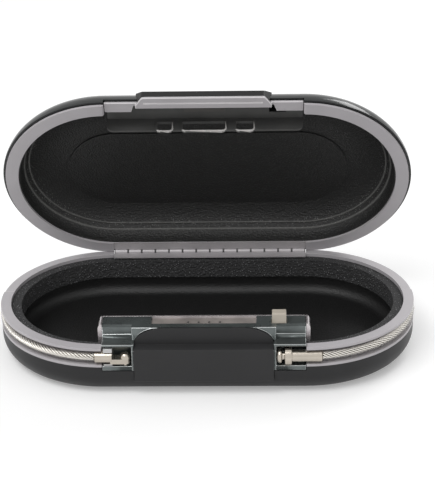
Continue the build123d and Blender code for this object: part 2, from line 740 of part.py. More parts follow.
def cell_pad():
    """Foam strip that lifts the cell off the rounded floor."""
    y = port_y()
    return box(CELL_X - CELL_W / 2 + 2, CELL_X + CELL_W / 2 - 2, y + 0.5, y + CELL_D / 2, BASE_WALL, cell_z())


def pin_places():
    return [(i - (PINS - 1) / 2) * PIN_PITCH for i in range(PINS)]


def contact_block():
    top = BASE_H + HOUSING_TOP - HOUSING_ROOF
    reach = PINS * PIN_PITCH / 2
    block = box(-reach, reach, FRONT + PIN_Y - 1.6, FRONT + PIN_Y + 1.6, top - 1, top)
    for x in pin_places():
        block -= rod_z(PIN_R, x, FRONT + PIN_Y, top - 5, top + 5)
    return block


def contact_pins():
    top = BASE_H + HOUSING_TOP
    pins = []
    for x in pin_places():
        pin = rod_z(PIN_R, x, FRONT + PIN_Y, top - HOUSING_ROOF - 1, top - FIT / 2)
        pins.append(fillet(pin.edges().group_by(Axis.Z)[-1], PIN_R * 0.7))
    return pins


# Lid, drawn closed
def swing_relief():
    """The lid's rear lower edge is cut away behind the hinge axis."""
    return box(-RELIEF_HALF, RELIEF_HALF, HINGE_Y - RIM_GAP, REAR + 5, LID_Z - 1, LID_Z + SWING_RELIEF)


def middle_zone(z0, z1):
    """The lid's front, over the lock housing."""
    half = HOUSING_HALF + FIT
    return box(-half, half, FRONT - 10, HOUSING_REAR, z0, z1)


def lid_rim():
    """The rim, its upstand inside the shell, and short end walls up to the level of the front flange."""
    rim = ring(LID_RIM_INSET, LID_RIM_W, LID_Z, LID_Z + LID_RIM_T)
    inset = LID_WALL + FIT
    rim += ring(inset, inset + UPSTAND_T, LID_Z, LID_Z + LID_RIM_T + LID_RIM_UPSTAND)
    rim -= middle_zone(LID_Z - 1, LID_Z + LID_H)
    rim -= swing_relief()
    for side in (-1, 1):
        x0, x1 = sorted((side * (HOUSING_HALF + FIT), side * (HOUSING_HALF + FIT + UPSTAND_T)))
        rim += box(x0, x1, FRONT + inset, FRONT + LID_RIM_W, LID_Z, LID_Z + RECESS + LID_RIM_T)
        rim -= Pos(side * (HOUSING_HALF + FIT), FRONT, LID_Z) * Rot(0, 45, 0) * Box(UPSTAND_T, CASE_D / 2, UPSTAND_T)
    rim -= hinge_space()
    return rim - leaf_recess(LID_Z - 5, LID_Z + LEAF_T)


def lid_crown(inset, z0):
    """The lid's domed body, drawn in evenly by inset."""
    return dome(inset, z0, LID_Z + LID_SIDE, CROWN_W - inset, LID_H - LID_SIDE - inset)


def crown_height(y):
    """Height of the lid's outer surface above the lid's side, y in from the front edge."""
    part = (CROWN_W - y) / CROWN_W
    return (LID_H - LID_SIDE) * sqrt(1 - part * part)


def crown_tilt(y):
    """Slope of the lid's outer surface there, in degrees."""
    part = (CROWN_W - y) / CROWN_W
    return degrees(atan((LID_H - LID_SIDE) / CROWN_W * part / sqrt(1 - part * part)))


def lid_shell():
    low = LID_Z + LID_RIM_T + LID_SEAM
    shell = lid_crown(0, low) - lid_crown(LID_WALL, low - 5)
    shell -= middle_zone(LID_Z - 1, LID_Z + RECESS + LID_RIM_T + LID_SEAM)
    shell -= swing_relief()
    reach = BULGE_HALF + BULGE_SLOPE - VISOR_T
    shell -= bulge_room() & box(-reach, reach, FRONT - CASE_D, REAR, 0, CASE_W)
    return shell - on_crown(rod_z(READER_BOARD_D / 2 + FIT, 0, 0, -LID_WALL - 3, 5))


def bulge_plan(edge, margin):
    """Plan of the bulge's front, from the case's edge outwards."""
    shoulder = BULGE_HALF + BULGE_SLOPE + margin
    half = BULGE_HALF + margin
    back = FRONT + COVER_STEP + VISOR_ROOT
    face = make_face(Polyline((-shoulder, back), (-shoulder, FRONT + LID_RIM_INSET), (-half, edge), (half, edge),
                              (shoulder, FRONT + LID_RIM_INSET), (shoulder, back), close=True))
    return fillet(face.vertices().group_by(Axis.Y)[0], BULGE_ROUND)


def visor_side(inset):
    """Side outline of the bulge, drawn in by inset."""
    face = FRONT + LID_RIM_INSET - BULGE_OUT + inset
    back = FRONT + COVER_STEP + VISOR_ROOT
    lip = LID_Z + VISOR_H - inset * VISOR_RISE / 2
    low = LID_Z - 1 if inset else LID_Z + LID_RIM_T
    return [(face, low), (face, lip), (back, lip + (back - face) * VISOR_RISE), (back, low)]


def bulge_room():
    """The hollow under the bulge. Behind it is wide enough for the cover's top, in front it leaves end walls."""
    room = side_prism(visor_side(VISOR_T), -COVER_HALF - BEZEL - FIT, COVER_HALF + BEZEL + FIT)
    split = FRONT + COVER_STEP - 3 * FIT
    reach = BULGE_HALF - VISOR_T
    far = 2 * CASE_D
    return room - box(-far, -reach, -far, split, 0, far) - box(reach, far, -far, split, 0, far)


def lid_front_flange():
    """The light flange along the lid's front: raised at the sides, lower and further out at the bulge."""
    z = LID_Z + RECESS
    outer = FRONT + LID_RIM_INSET
    inner = FRONT + FLANGE_IN
    near = inner - BULGE_IN
    shoulder = BULGE_HALF + BULGE_SLOPE
    face = make_face(Polyline((-shoulder, near), (-shoulder, outer), (-BULGE_HALF, outer - BULGE_OUT),
                              (BULGE_HALF, outer - BULGE_OUT), (shoulder, outer), (shoulder, near), close=True))
    face = fillet(face.vertices().group_by(Axis.Y)[0], BULGE_ROUND)
    flange = Pos(0, 0, LID_Z) * extrude(face, LID_RIM_T)
    root = COVER_HALF + BEZEL + RIM_GAP
    for side in (-1, 1):
        corners = ((shoulder - BULGE_JOIN, outer), (HOUSING_HALF - FIT, outer), (HOUSING_HALF - FIT, inner),
                   (root + BULGE_SLOPE_IN, inner), (root, near), (shoulder - BULGE_JOIN, near))
        wing = make_face(Polyline(*[(side * x, y) for x, y in corners], close=True))
        flange += Pos(0, 0, z) * extrude(wing, LID_RIM_T)
        x0, x1 = sorted((side * (shoulder - BULGE_JOIN), side * shoulder))
        flange += box(x0, x1, outer, near, LID_Z, z + LID_RIM_T)
    groove_y = (outer - BULGE_OUT + near) / 2
    reach = BULGE_HALF - BULGE_JOIN
    return flange - box(-reach, reach, groove_y - 0.3, groove_y + 0.3, LID_Z - 1, LID_Z + 0.5)


def lid_visor():
    """The matte black bulge in front of the lid shell, over the light flange."""
    edge = FRONT + LID_RIM_INSET - BULGE_OUT
    shoulder = BULGE_HALF + BULGE_SLOPE
    visor = side_prism(visor_side(0), -shoulder, shoulder)
    visor &= Pos(0, 0, LID_Z) * extrude(bulge_plan(edge, 0), LID_H)
    visor -= lid_crown(-FIT / 4, LID_Z)
    visor -= bulge_room()
    return visor.solids().sort_by(SortBy.VOLUME)[-1]


def strike_plate():
    """A steel angle: the roof over the lock housing and the slotted plate behind it."""
    y = FRONT + STRIKE_FRONT
    half = HOUSING_HALF - FIT
    roof_z = LID_Z + ROOF_Z
    plate = box(-half, half, y, y + STRIKE_T, LID_Z + STRIKE_LOW, roof_z + STRIKE_T)
    plate = fillet(plate.edges().filter_by(Axis.Y).group_by(Axis.Z)[0], STRIKE_CORNER)
    for x, width in zip(BOLT_CENTRES, BOLT_WIDTHS):
        half_slot = width / 2 + SLOT_PLAY
        slot_low = BASE_H + BOLT_LOW - SLOT_PLAY
        slot_high = BASE_H + BOLT_LOW + BOLT_H + 2 * SLOT_PLAY
        lip = box(x - half_slot - LIP_W, x + half_slot + LIP_W, y - LIP_H, y + STRIKE_T,
                  slot_low - LIP_W, slot_high + LIP_W)
        plate += fillet(lip.edges().filter_by(Axis.Y).group_by(Axis.Z)[0], SLOT_CORNER + LIP_W)
        slot = box(x - half_slot, x + half_slot, y - 1, y + STRIKE_T + 1, slot_low, slot_high)
        plate -= fillet(slot.edges().filter_by(Axis.Y).group_by(Axis.Z)[0], SLOT_CORNER)
    roof = box(-half, half, FRONT + ROOF_FRONT, y + STRIKE_T, roof_z, roof_z + STRIKE_T)
    gap = 2 * SLIDE_GAP
    roof -= box(BUTTON_X - BUTTON_W / 2 - gap, BUTTON_X + BUTTON_W / 2 + gap, button_front() - gap,
                button_front() + BUTTON_D + 2 * gap, roof_z - 1, roof_z + 5)
    return plate + roof


def lid_liner():
    outer = lid_crown(LID_WALL + FIT, LID_Z + LID_RIM_T)
    outer &= slab(LID_WALL + UPSTAND_T + 2 * FIT, LID_Z, LID_Z + LID_H)
    hollow = dome(LID_LINER_EDGE, LID_Z - 1, LID_Z + CEILING_SIDE, CEILING_CROWN, LID_CEILING - CEILING_SIDE)
    liner = outer - hollow
    pad = extrude(SlotOverall(PAD_W, PAD_D), PAD_T + 1)
    liner += Pos(0, PAD_Y, LID_Z + LID_CEILING - PAD_T) * pad & outer
    front = FRONT + STRIKE_FRONT + STRIKE_T
    half = cheek_out() + 2 * FIT
    liner -= box(-half, half, FRONT - 5, front + FIT, LID_Z - 1, LID_Z + LID_H)
    liner -= on_crown(rod_z(READER_BOARD_D / 2 + 1, 0, 0, -LID_WALL - BOARD_T - FIT, 5))
    return liner - swing_relief()


# Fingerprint reader, drawn about its own centre and then set on the crown
def on_crown(shape):
    height = LID_Z + LID_SIDE + crown_height(READER_Y)
    return Pos(0, FRONT + READER_Y, height) * Rot(crown_tilt(READER_Y), 0, 0) * shape


def reader_bezel():
    body = rod_z(BEZEL_D / 2, 0, 0, -1, BEZEL_PROUD)
    body = fillet(body.edges().group_by(Axis.Z)[-1], BEZEL_PROUD * 0.6)
    body = on_crown(body) - lid_crown(0, LID_Z)
    body += on_crown(rod_z(READER_BOARD_D / 2, 0, 0, -LID_WALL, 0))
    body -= on_crown(rod_z(SENSOR_D / 2 + FIT / 2, 0, 0, -LID_WALL - 1, 5))
    return body - on_crown(rod_z(LED_D / 2 + FIT / 4, LED_X, 0, -LID_WALL - 1, 5))


def reader_sensor():
    return on_crown(rod_z(SENSOR_D / 2, 0, 0, -LID_WALL, BEZEL_PROUD - 0.3))


def reader_board():
    return on_crown(rod_z(READER_BOARD_D / 2, 0, 0, -LID_WALL - BOARD_T, -LID_WALL))


def status_led():
    led = rod_z(LED_D / 2, LED_X, 0, -LID_WALL, BEZEL_PROUD)
    return on_crown(fillet(led.edges().group_by(Axis.Z)[-1], 0.4))


def lid_contacts():
    """The strip of gold pads that meets the pins when the lid is shut."""
    z = BASE_H + HOUSING_TOP + RIM_GAP
    reach = PINS * PIN_PITCH / 2
    return box(-reach, reach, FRONT + PIN_Y - 2, FRONT + PIN_Y + 2, z, LID_Z + ROOF_Z)


# Hinge
def knuckle_spans(first):
    pitch = HINGE_LEN / KNUCKLES
    return [(-HINGE_LEN / 2 + i * pitch, -HINGE_LEN / 2 + (i + 1) * pitch) for i in range(first, KNUCKLES, 2)]


def hinge_leaf(first, z0, z1):
    """A leaf with every second knuckle, its gaps cut clear of the other leaf's knuckles."""
    leaf = box(-HINGE_LEN / 2, HINGE_LEN / 2, HINGE_Y - LEAF_W, HINGE_Y - KNUCKLE_R - FIT / 2, z0, z1)
    for x0, x1 in knuckle_spans(first):
        a = x0 + KNUCKLE_GAP / 2
        b = x1 - KNUCKLE_GAP / 2
        leaf += box(a, b, HINGE_Y - KNUCKLE_R - FIT, HINGE_Y, z0, z1)
        leaf += rod_x(KNUCKLE_R, a, b, HINGE_Y, HINGE_Z)
    leaf -= rod_x(HINGE_PIN_R + PIN_PLAY, -HINGE_LEN, HINGE_LEN, HINGE_Y, HINGE_Z)
    for x in rivet_places():
        leaf -= rod_z(LEAF_RIVET_R * 0.6, x, leaf_rivet_y(), z0 - 1, z1 + 1)
    return leaf


def rivet_places():
    pitch = HINGE_LEN / LEAF_RIVETS
    return [(i - (LEAF_RIVETS - 1) / 2) * pitch for i in range(LEAF_RIVETS)]


def leaf_rivet_y():
    return HINGE_Y - (LEAF_W + KNUCKLE_R) / 2


def leaf_rivets(z0, z1):
    """Flush rivets through a leaf."""
    return [rod_z(LEAF_RIVET_R * 0.6, x, leaf_rivet_y(), z0, z1) for x in rivet_places()]


def hinge_pin():
    return rod_x(HINGE_PIN_R, -HINGE_LEN / 2, HINGE_LEN / 2, HINGE_Y, HINGE_Z)


BASE_PIECES = {
    "base_shell": base_shell(),
    "base_rim_rear": base_rim_rear(),
    "base_rim_left": base_rim_front(-1),
    "base_rim_right": base_rim_front(1),
    "base_liner": base_liner(),
    "base_liner_ring": base_liner_ring(),
    "front_cover": front_cover(),
    "lock_housing": lock_housing(),
    "housing_rear_cover": housing_rear_cover(),
    "housing_bosses": screw_bosses(),
    "cover_screws": cover_screws(),
    "solenoid_coil": solenoid_coil(),
    "solenoid_frame": solenoid_frame(),
    "security_cable": cable(),
    "anchor_ferrule": anchor_ferrule(),
    "anchor_rivet": anchor_rivet(),
    "anchor_clip": anchor_clip(),
    "cable_plug": cable_plug(),
    "release_spring": release_spring(),
    "control_board": control_board(),
    "board_standoffs": board_standoffs(),
    "charge_port": charge_port(),
    "battery_cell": battery_cell(),
    "cell_pad": cell_pad(),
    "contact_block": contact_block(),
    "contact_pins": contact_pins(),
    "hinge_base_leaf": hinge_leaf(0, BASE_H - LEAF_T, BASE_H),
    "hinge_base_rivets": leaf_rivets(BASE_H - LEAF_T, BASE_H),
    "hinge_pin": hinge_pin(),
}
SLIDING_PIECES = {
    "bolt_bar": bolt_bar(),
    "solenoid_plunger": solenoid_plunger(),
    "cable_release_button": cable_release_button(),
    "latch_blade": latch_blade(),
}
LID_PIECES = {
    "lid_shell": lid_shell(),
    "lid_rim": lid_rim(),
    "lid_front_flange": lid_front_flange(),
    "lid_visor": lid_visor(),
    "strike_plate": strike_plate(),
    "lid_liner": lid_liner(),
    "reader_bezel": reader_bezel(),
    "reader_sensor": reader_sensor(),
    "reader_board": reader_board(),
    "status_led": status_led(),
    "lid_contacts": lid_contacts(),
    "hinge_lid_leaf": hinge_leaf(1, LID_Z, LID_Z + LEAF_T),
    "hinge_lid_rivets": leaf_rivets(LID_Z, LID_Z + LEAF_T),
}


def as_one(piece):
    """Loose like solids share one file."""
    return Compound(children=piece) if isinstance(piece, list) else piece


os.makedirs("parts", exist_ok=True)
for name, piece in {**BASE_PIECES, **SLIDING_PIECES}.items():
    export_step(as_one(piece), f"parts/{name}.step")
for name, piece in LID_PIECES.items():
    export_step(opened(as_one(piece)), f"parts/{name}.step")
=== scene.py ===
"""A small portable safe standing open: black stadium-shaped base and domed lid, silver rims, a dark
chrome lock housing with a charcoal cover, and a stranded steel cable held round the base.
"""
import json
import math

import bmesh
import bpy
from mathutils import Matrix, Vector
from mathutils.bvhtree import BVHTree


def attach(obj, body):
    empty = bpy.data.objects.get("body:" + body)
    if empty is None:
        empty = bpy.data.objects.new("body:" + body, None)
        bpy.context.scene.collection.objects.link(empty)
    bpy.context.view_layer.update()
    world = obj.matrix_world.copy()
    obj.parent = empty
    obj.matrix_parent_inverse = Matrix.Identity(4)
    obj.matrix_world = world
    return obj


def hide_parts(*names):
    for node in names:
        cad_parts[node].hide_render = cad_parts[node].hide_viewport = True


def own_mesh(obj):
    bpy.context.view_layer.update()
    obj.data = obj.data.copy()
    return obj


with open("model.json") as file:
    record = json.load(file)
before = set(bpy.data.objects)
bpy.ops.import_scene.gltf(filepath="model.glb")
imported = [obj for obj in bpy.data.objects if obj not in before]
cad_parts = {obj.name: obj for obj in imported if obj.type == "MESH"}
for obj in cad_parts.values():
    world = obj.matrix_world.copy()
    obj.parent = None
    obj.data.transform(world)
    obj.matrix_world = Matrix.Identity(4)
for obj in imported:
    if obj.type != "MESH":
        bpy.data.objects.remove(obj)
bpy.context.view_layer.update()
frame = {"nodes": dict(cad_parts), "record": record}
nodes = frame["nodes"]
MM = 0.001


# The photographer's place: a long lens, a little left of the middle, looking down at 25 degrees.
# The camera's own turn about its line of sight is about one degree.
FOCAL_PX = 1663.9
FRAME_H_PX = 495
SENSOR = 36.0
DISTANCE = 1.003
PITCH = math.radians(25.045)
YAW = math.radians(-1.867)
ROLL = math.radians(-1.172)
SIDE_SHIFT = 0.00573
UP_SHIFT = 0.05578

forward = Vector((math.sin(YAW) * math.cos(PITCH), math.cos(YAW) * math.cos(PITCH), -math.sin(PITCH)))
level = Vector((math.cos(YAW), -math.sin(YAW), 0))
upright = level.cross(forward)
right = level * math.cos(ROLL) + upright * math.sin(ROLL)
up = upright * math.cos(ROLL) - level * math.sin(ROLL)
camera_data = bpy.data.cameras.new("camera")
camera_data.sensor_fit = "VERTICAL"
camera_data.sensor_height = SENSOR
camera_data.lens = FOCAL_PX * SENSOR / FRAME_H_PX
camera_data.clip_end = 50
camera = bpy.data.objects.new("camera", camera_data)
bpy.context.scene.collection.objects.link(camera)
turn = Matrix((right, up, -forward)).transposed().to_4x4()
camera.matrix_world = Matrix.Translation(-forward * DISTANCE + right * SIDE_SHIFT + up * UP_SHIFT) @ turn
bpy.context.scene.camera = camera
bpy.context.scene.view_settings.view_transform = "Standard"


# The studio: a white sweep, one wide soft box overhead and to the front, and a weaker one behind
# that draws the lid's upper edge. The sweep shows pure white and keeps the safe's own soft shadow.
def node_tree(owner):
    owner.use_nodes = True
    owner.node_tree.nodes.clear()
    return owner.node_tree


def add(tree, kind, **values):
    """Adds one shader node and sets its properties and sockets by name."""
    node = tree.nodes.new(kind)
    for name, value in values.items():
        if hasattr(node, name):
            setattr(node, name, value)
        else:
            node.inputs[name.replace("_", " ")].default_value = value
    return node


def seen_rays(tree):
    """1 for rays that see the white backdrop: the camera's, mirrored and passed through."""
    path = add(tree, "ShaderNodeLightPath")
    first = add(tree, "ShaderNodeMath", operation="MAXIMUM")
    tree.links.new(path.outputs["Is Camera Ray"], first.inputs[0])
    tree.links.new(path.outputs["Is Transmission Ray"], first.inputs[1])
    both = add(tree, "ShaderNodeMath", operation="MAXIMUM")
    tree.links.new(first.outputs[0], both.inputs[0])
    tree.links.new(path.outputs["Is Glossy Ray"], both.inputs[1])
    return both.outputs[0]


FLOOR_SIZE = 12.0
FLOOR_GAP = 0.0001
FLOOR_ALBEDO = 0.8
FLOOR_GLOW = 0.27
bpy.ops.object.select_all(action="DESELECT")
bpy.ops.mesh.primitive_plane_add(size=FLOOR_SIZE, location=(0, 0, 0))
floor = bpy.context.object
floor.name = "floor"
floor.location.z = -FLOOR_GAP
floor_paint = bpy.data.materials.new("white_sweep")
tree = node_tree(floor_paint)
seen = seen_rays(tree)
diffuse = add(tree, "ShaderNodeBsdfDiffuse", Color=(FLOOR_ALBEDO, FLOOR_ALBEDO, FLOOR_ALBEDO, 1))
glow = add(tree, "ShaderNodeEmission", Color=(1, 1, 1, 1))
strength = add(tree, "ShaderNodeMath", operation="MULTIPLY")
strength.inputs[1].default_value = FLOOR_GLOW
tree.links.new(seen, strength.inputs[0])
tree.links.new(strength.outputs[0], glow.inputs["Strength"])
both = add(tree, "ShaderNodeAddShader")
tree.links.new(diffuse.outputs[0], both.inputs[0])
tree.links.new(glow.outputs[0], both.inputs[1])
surface = add(tree, "ShaderNodeOutputMaterial")
tree.links.new(both.outputs[0], surface.inputs["Surface"])
floor.data.materials.append(floor_paint)

ROOM_LIGHT = 0.62
world = bpy.data.worlds.new("studio")
bpy.context.scene.world = world
tree = node_tree(world)
seen = seen_rays(tree)
plain = add(tree, "ShaderNodeBackground", Color=(1, 1, 1, 1), Strength=ROOM_LIGHT)
white = add(tree, "ShaderNodeBackground", Color=(1, 1, 1, 1), Strength=1.0)
choose = add(tree, "ShaderNodeMixShader")
tree.links.new(seen, choose.inputs[0])
tree.links.new(plain.outputs[0], choose.inputs[1])
tree.links.new(white.outputs[0], choose.inputs[2])
surface = add(tree, "ShaderNodeOutputWorld")
tree.links.new(choose.outputs[0], surface.inputs["Surface"])


def soft_box(name, place, aim, width, height, watts):
    light = bpy.data.lights.new(name, "AREA")
    light.shape = "RECTANGLE"
    light.size = width
    light.size_y = height
    light.energy = watts
    lamp = bpy.data.objects.new(name, light)
    bpy.context.scene.collection.objects.link(lamp)
    lamp.location = place
    lamp.rotation_euler = (Vector(aim) - Vector(place)).to_track_quat("-Z", "Y").to_euler()


soft_box("key", (-0.5, -0.6, 1.3), (0, 0, 0.03), 1.0, 0.7, 9)
soft_box("rim", (0.7, 0.9, 0.9), (0, 0.06, 0.1), 0.6, 0.5, 5)


# What the moulded and plated finishes share: a fine grain, made once as a group and placed in each
# material with its own size and gloss, and a colour that varies a little over the surface.
def group(name, inputs, outputs):
    tree = bpy.data.node_groups.new(name, "ShaderNodeTree")
    for label, kind, value in inputs:
        socket = tree.interface.new_socket(name=label, in_out="INPUT", socket_type=kind)
        socket.default_value = value
    for label, kind in outputs:
        tree.interface.new_socket(name=label, in_out="OUTPUT", socket_type=kind)
    return tree, tree.nodes.new("NodeGroupInput"), tree.nodes.new("NodeGroupOutput")


def make_grain():
    """Noise at one size, as a height around 0.5 and as a roughness between two limits."""
    tree, given, result = group("moulded_grain",
                                [("Scale", "NodeSocketFloat", 1500), ("Low", "NodeSocketFloat", 0.4),
                                 ("High", "NodeSocketFloat", 0.5)],
                                [("Height", "NodeSocketFloat"), ("Roughness", "NodeSocketFloat")])
    where = add(tree, "ShaderNodeTexCoord")
    fine = add(tree, "ShaderNodeTexNoise", Detail=3.0)
    tree.links.new(where.outputs["Object"], fine.inputs["Vector"])
    tree.links.new(given.outputs["Scale"], fine.inputs["Scale"])
    wide = add(tree, "ShaderNodeTexNoise", Scale=45.0, Detail=4.0)
    tree.links.new(where.outputs["Object"], wide.inputs["Vector"])
    spread = add(tree, "ShaderNodeMapRange")
    spread.inputs["From Min"].default_value = 0.3
    spread.inputs["From Max"].default_value = 0.7
    tree.links.new(wide.outputs["Fac"], spread.inputs["Value"])
    tree.links.new(given.outputs["Low"], spread.inputs["To Min"])
    tree.links.new(given.outputs["High"], spread.inputs["To Max"])
    tree.links.new(fine.outputs["Fac"], result.inputs["Height"])
    tree.links.new(spread.outputs["Result"], result.inputs["Roughness"])
    return tree


grain_group = make_grain()
PATCH_SCALE = 60.0


def tint(tree, colour, amount, scale):
    """A colour that varies a little in brightness over the surface."""
    where = add(tree, "ShaderNodeTexCoord")
    noise = add(tree, "ShaderNodeTexNoise", Scale=scale, Detail=4.0)
    tree.links.new(where.outputs["Object"], noise.inputs["Vector"])
    ramp = add(tree, "ShaderNodeValToRGB")
    low, high = ramp.color_ramp.elements
    low.position, high.position = 0.3, 0.7
    low.color = (*[c * (1 - amount) for c in colour], 1)
    high.color = (*[min(1, c * (1 + amount)) for c in colour], 1)
    tree.links.new(noise.outputs["Fac"], ramp.inputs["Fac"])
    return ramp.outputs["Color"]


def finish(name, colour, low, high, metallic=0.0, grain=1500, bump=0.05, depth=0.00005, vary=0.08,
           coat=0.0, coat_rough=0.1, specular=0.5):
    """A moulded or plated surface with the shared grain."""
    material = bpy.data.materials.new(name)
    tree = node_tree(material)
    skin = add(tree, "ShaderNodeBsdfPrincipled", Metallic=metallic)
    skin.inputs["Coat Weight"].default_value = coat
    skin.inputs["Coat Roughness"].default_value = coat_rough
    skin.inputs["Specular IOR Level"].default_value = specular
    texture = tree.nodes.new("ShaderNodeGroup")
    texture.node_tree = grain_group
    texture.inputs["Scale"].default_value = grain
    texture.inputs["Low"].default_value = low
    texture.inputs["High"].default_value = high
    raised = add(tree, "ShaderNodeBump", Strength=bump, Distance=depth)
    tree.links.new(texture.outputs["Height"], raised.inputs["Height"])
    tree.links.new(raised.outputs["Normal"], skin.inputs["Normal"])
    tree.links.new(texture.outputs["Roughness"], skin.inputs["Roughness"])
    tree.links.new(tint(tree, colour, vary, PATCH_SCALE), skin.inputs["Base Color"])
    surface = add(tree, "ShaderNodeOutputMaterial")
    tree.links.new(skin.outputs[0], surface.inputs["Surface"])
    return material


record = frame["record"]
body_of = {name: body for body, names in record["behaviour"]["bodies"].items() for name in names}


def place(piece, name):
    """A Blender piece that stands for a CAD node: it hides the node and rides on its body."""
    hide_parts(name)
    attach(piece, body_of[name])
    return piece


WELD = 0.01
FLAT_ANGLE = math.radians(1)
SHARP_ANGLE = math.radians(40)
SMOOTH_ANGLE = math.radians(35)
STRAY_SHARE = 0.6


def eased(name, finishes, width, segments=2, edge=0, paint=None, clamp=True, outer=0.0):
    """A copy of a node with its loose facets merged and its sharp edges rounded.

    finishes are its materials. edge is the number of the one on rounded edges, and paint gives the
    number for each face. With outer, only outward edges longer than that are rounded. A point that
    the rounding leaves further off than a share of its width goes back onto the sharp form.
    """
    mesh = nodes[name].data.copy()
    mesh.materials.clear()
    for material in finishes:
        mesh.materials.append(material)
    piece = bpy.data.objects.new(name + "_eased", mesh)
    bpy.context.scene.collection.objects.link(piece)
    shape = bmesh.new()
    shape.from_mesh(mesh)
    bmesh.ops.remove_doubles(shape, verts=shape.verts, dist=WELD * MM)
    for face in shape.faces:
        face.material_index = paint(face) if paint else 0
    bmesh.ops.dissolve_limit(shape, angle_limit=FLAT_ANGLE, verts=shape.verts, edges=shape.edges,
                             delimit={"MATERIAL"})
    bmesh.ops.recalc_face_normals(shape, faces=shape.faces)
    sharp_form = BVHTree.FromBMesh(shape)
    if outer:
        chosen = shape.edges.layers.float.new("bevel_weight_edge")
        for line in shape.edges:
            outward = line.calc_face_angle_signed(0) > SHARP_ANGLE
            line[chosen] = 1.0 if outward and line.calc_length() > outer * MM else 0.0
    shape.to_mesh(mesh)
    shape.free()
    bpy.ops.object.select_all(action="DESELECT")
    piece.select_set(True)
    bpy.context.view_layer.objects.active = piece
    bevel = piece.modifiers.new("edges", "BEVEL")
    bevel.width = width * MM
    bevel.segments = segments
    bevel.limit_method = "WEIGHT" if outer else "ANGLE"
    bevel.angle_limit = SHARP_ANGLE
    bevel.use_clamp_overlap = clamp
    bevel.material = edge or -1
    bpy.ops.object.modifier_apply(modifier=bevel.name)
    for vertex in mesh.vertices:
        spot, _, _, off = sharp_form.find_nearest(vertex.co)
        if off > STRAY_SHARE * width * MM:
            vertex.co = spot
    bpy.ops.object.shade_smooth_by_angle(angle=SMOOTH_ANGLE)
    flat = piece.modifiers.new("flat_faces", "WEIGHTED_NORMAL")
    flat.keep_sharp = True
    bpy.ops.object.modifier_apply(modifier=flat.name)
    return place(piece, name)


# The base is a black moulding with a fine spark-eroded grain. The lid is the same black, polished,
# and the bulge over the flange is left matt.
case_black = finish("case_black", (0.02, 0.02, 0.021), 0.4, 0.48, grain=1400, bump=0.25, specular=0.3)
lid_black = finish("lid_black", (0.012, 0.014, 0.014), 0.1, 0.18, grain=900, bump=0.03)
visor_black = finish("visor_black", (0.007, 0.007, 0.007), 0.4, 0.5, grain=1400, bump=0.2, specular=0.3)
eased("base_shell", [case_black], 0.4)
eased("lid_visor", [visor_black], 0.5)
eased("lid_shell", [lid_black], 0.4)


# The front cover is a charcoal moulding, flat and even, a little lighter than the case.
# It is fixed over the lock and hides it.
cover_black = finish("cover_black", (0.026, 0.026, 0.027), 0.5, 0.58, grain=1600, bump=0.2, vary=0.04,
                     specular=0.3)
eased("front_cover", [cover_black], 0.5, 3)


# The rims are silver-grey mouldings with a satin paint; their rounded edges are painted paler, a painted
# highlight.
# The base's rim is a channel for the cable.
rim_silver = finish("rim_silver", (0.475, 0.455, 0.472), 0.3, 0.4, grain=2200, bump=0.08, vary=0.03)
rim_edge_highlight = finish("rim_edge_highlight", (0.72, 0.7, 0.71), 0.25, 0.35, grain=2200, bump=0.05, vary=0.03)
for name in ("base_rim_rear", "base_rim_left", "base_rim_right", "lid_rim"):
    eased(name, [rim_silver, rim_edge_highlight], 0.25, edge=1)
eased("lid_front_flange", [rim_silver, rim_edge_highlight], 0.3, edge=1, clamp=False)


# The lock housing is cast and plated in a dark smoky chrome.
# The cover wrapped round its back and ends is brighter.
smoke_chrome = finish("smoke_chrome", (0.13, 0.147, 0.146), 0.2, 0.34, metallic=0.6, grain=350, bump=0.15,
                      depth=0.0002, vary=0.25)
# The housing's rounded outward edges are painted a bright chrome, a painted highlight.
edge_chrome_highlight = finish("edge_chrome_highlight", (0.5, 0.52, 0.52), 0.2, 0.3, metallic=1.0, grain=500, bump=0.05)
# The shallow tray on the housing's top is painted a warm brown, a painted reflection.
tray_reflection_tint = finish("tray_reflection_tint", (0.38, 0.34, 0.32), 0.3, 0.45, metallic=0.4, grain=350, bump=0.15,
                     vary=0.35)
# The ledge beside the cover is the same chrome painted darker, as painted shade.
ledge_shaded_chrome = finish("ledge_shaded_chrome", (0.08, 0.088, 0.087), 0.22, 0.36, metallic=0.6, grain=350, bump=0.15,
                    vary=0.25)
cover_steel = finish("cover_steel", (0.6, 0.56, 0.57), 0.18, 0.3, metallic=0.8, grain=700, bump=0.06)
TRAY_Z = 38.7
TRAY_HALF = 29.4
LEDGE_Z = 31.7
AT_LEVEL = 0.05
FACES_UP = 0.9


def housing_finish(face):
    """The number of a face's finish: 2 in the shallow tray, a painted reflection, 3 on the ledge beside the
    cover, painted shade, else 0.
    """
    spot = face.calc_center_median() / MM
    if abs(spot.z - TRAY_Z) < AT_LEVEL and abs(spot.x) < TRAY_HALF:
        return 2
    return 3 if abs(spot.z - LEDGE_Z) < AT_LEVEL and face.normal.z > FACES_UP else 0


def dress(material, *names):
    """Gives CAD nodes a finish."""
    for name in names:
        nodes[name].data.materials.clear()
        nodes[name].data.materials.append(material)


eased("lock_housing", [smoke_chrome, edge_chrome_highlight, tray_reflection_tint, ledge_shaded_chrome], 0.3, edge=1, paint=housing_finish,
      clamp=False, outer=1.0)
dress(smoke_chrome, "housing_bosses")
eased("housing_rear_cover", [cover_steel], 0.3)


